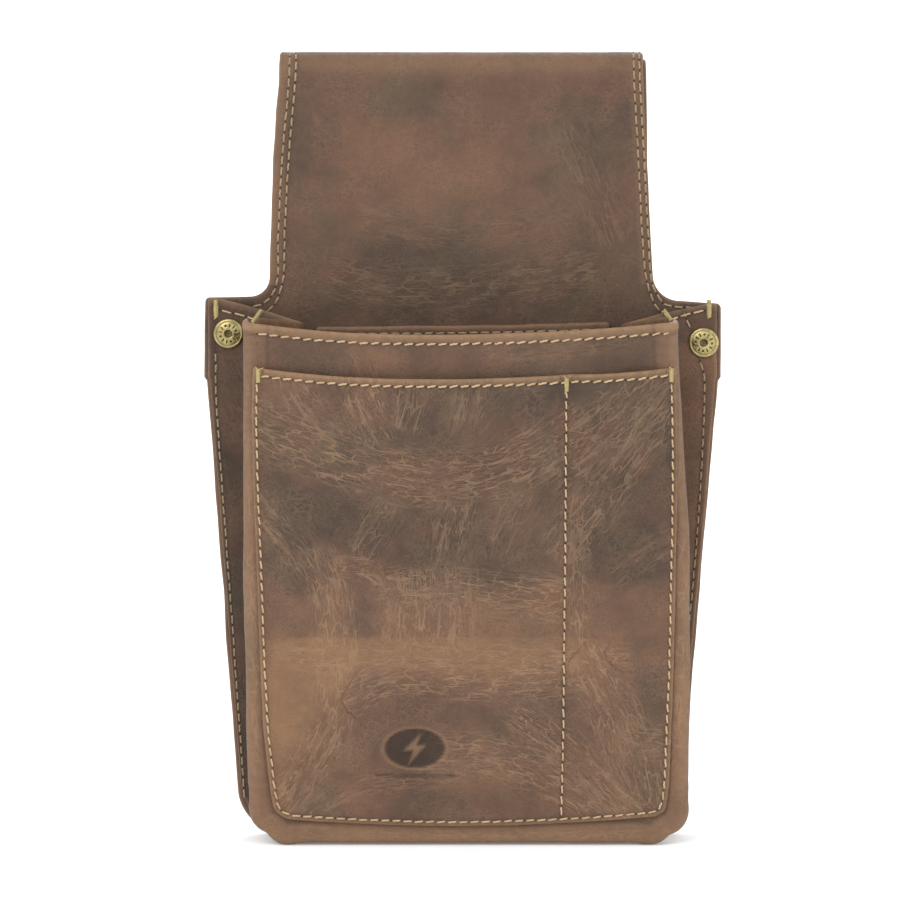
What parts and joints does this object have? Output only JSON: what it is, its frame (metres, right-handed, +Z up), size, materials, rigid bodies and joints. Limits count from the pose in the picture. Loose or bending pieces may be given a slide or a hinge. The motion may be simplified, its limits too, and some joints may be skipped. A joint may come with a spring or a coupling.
{
  "type": "electrician tool pouch",
  "caption": "Leather belt pouch for hand tools, with a fold-over belt loop, a bellows main pocket, an inner slip pocket and a divided patch pocket on the front.",
  "frame": {"origin": "middle of the belt loop, where the belt passes", "axes": "+X along the belt, to the right as the pouch is looked at from the front; the front faces -Y; +Z up"},
  "size_m": [0.1698, 0.0557, 0.2587],
  "materials": {
    "body_leather": "waxed pull-up leather, matt with a low sheen",
    "patch_leather": "wrinkled pull-up leather",
    "gusset_leather": "pull-up leather, darker",
    "lining_leather": "suede, flesh side out",
    "thread": "waxed bonded thread, golden tan",
    "antique_brass": "antique brass, darkened in the recesses"
  },
  "bodies": {
    "back": {"back_panel": "body_leather", "loop_lining": "lining_leather", "inner_pocket": "body_leather", "pocket_bottom": "body_leather", "left_gusset": "gusset_leather", "right_gusset": "gusset_leather", "left_rivet_cap": "antique_brass", "left_rivet_stud": "antique_brass", "right_rivet_cap": "antique_brass", "right_rivet_stud": "antique_brass", "left_neck_stitching": "thread", "right_neck_stitching": "thread", "left_side_seam": "thread", "right_side_seam": "thread", "left_gusset_hem_stitching": "thread", "right_gusset_hem_stitching": "thread", "shoulder_bar_tacks": "thread", "loop_tail_stitching": "thread", "inner_pocket_hem_stitching": "thread"},
    "front": {"pocket_front": "body_leather", "patch_pocket": "patch_leather", "rim_stitching": "thread", "patch_seam_stitching": "thread", "patch_divider_stitching": "thread", "patch_hem_stitching": "thread", "patch_bar_tacks": "thread"}
  },
  "joints": [
    {"name": "front_lean", "type": "hinge", "parent": "back", "child": "front", "pos_m": [0, -0.02475, -0.2208], "axis": [1, 0, 0], "range_deg": [-6, 4], "stiffness_Nm_per_rad": 0.8, "deforming": ["left_gusset", "right_gusset"]}
  ]
}
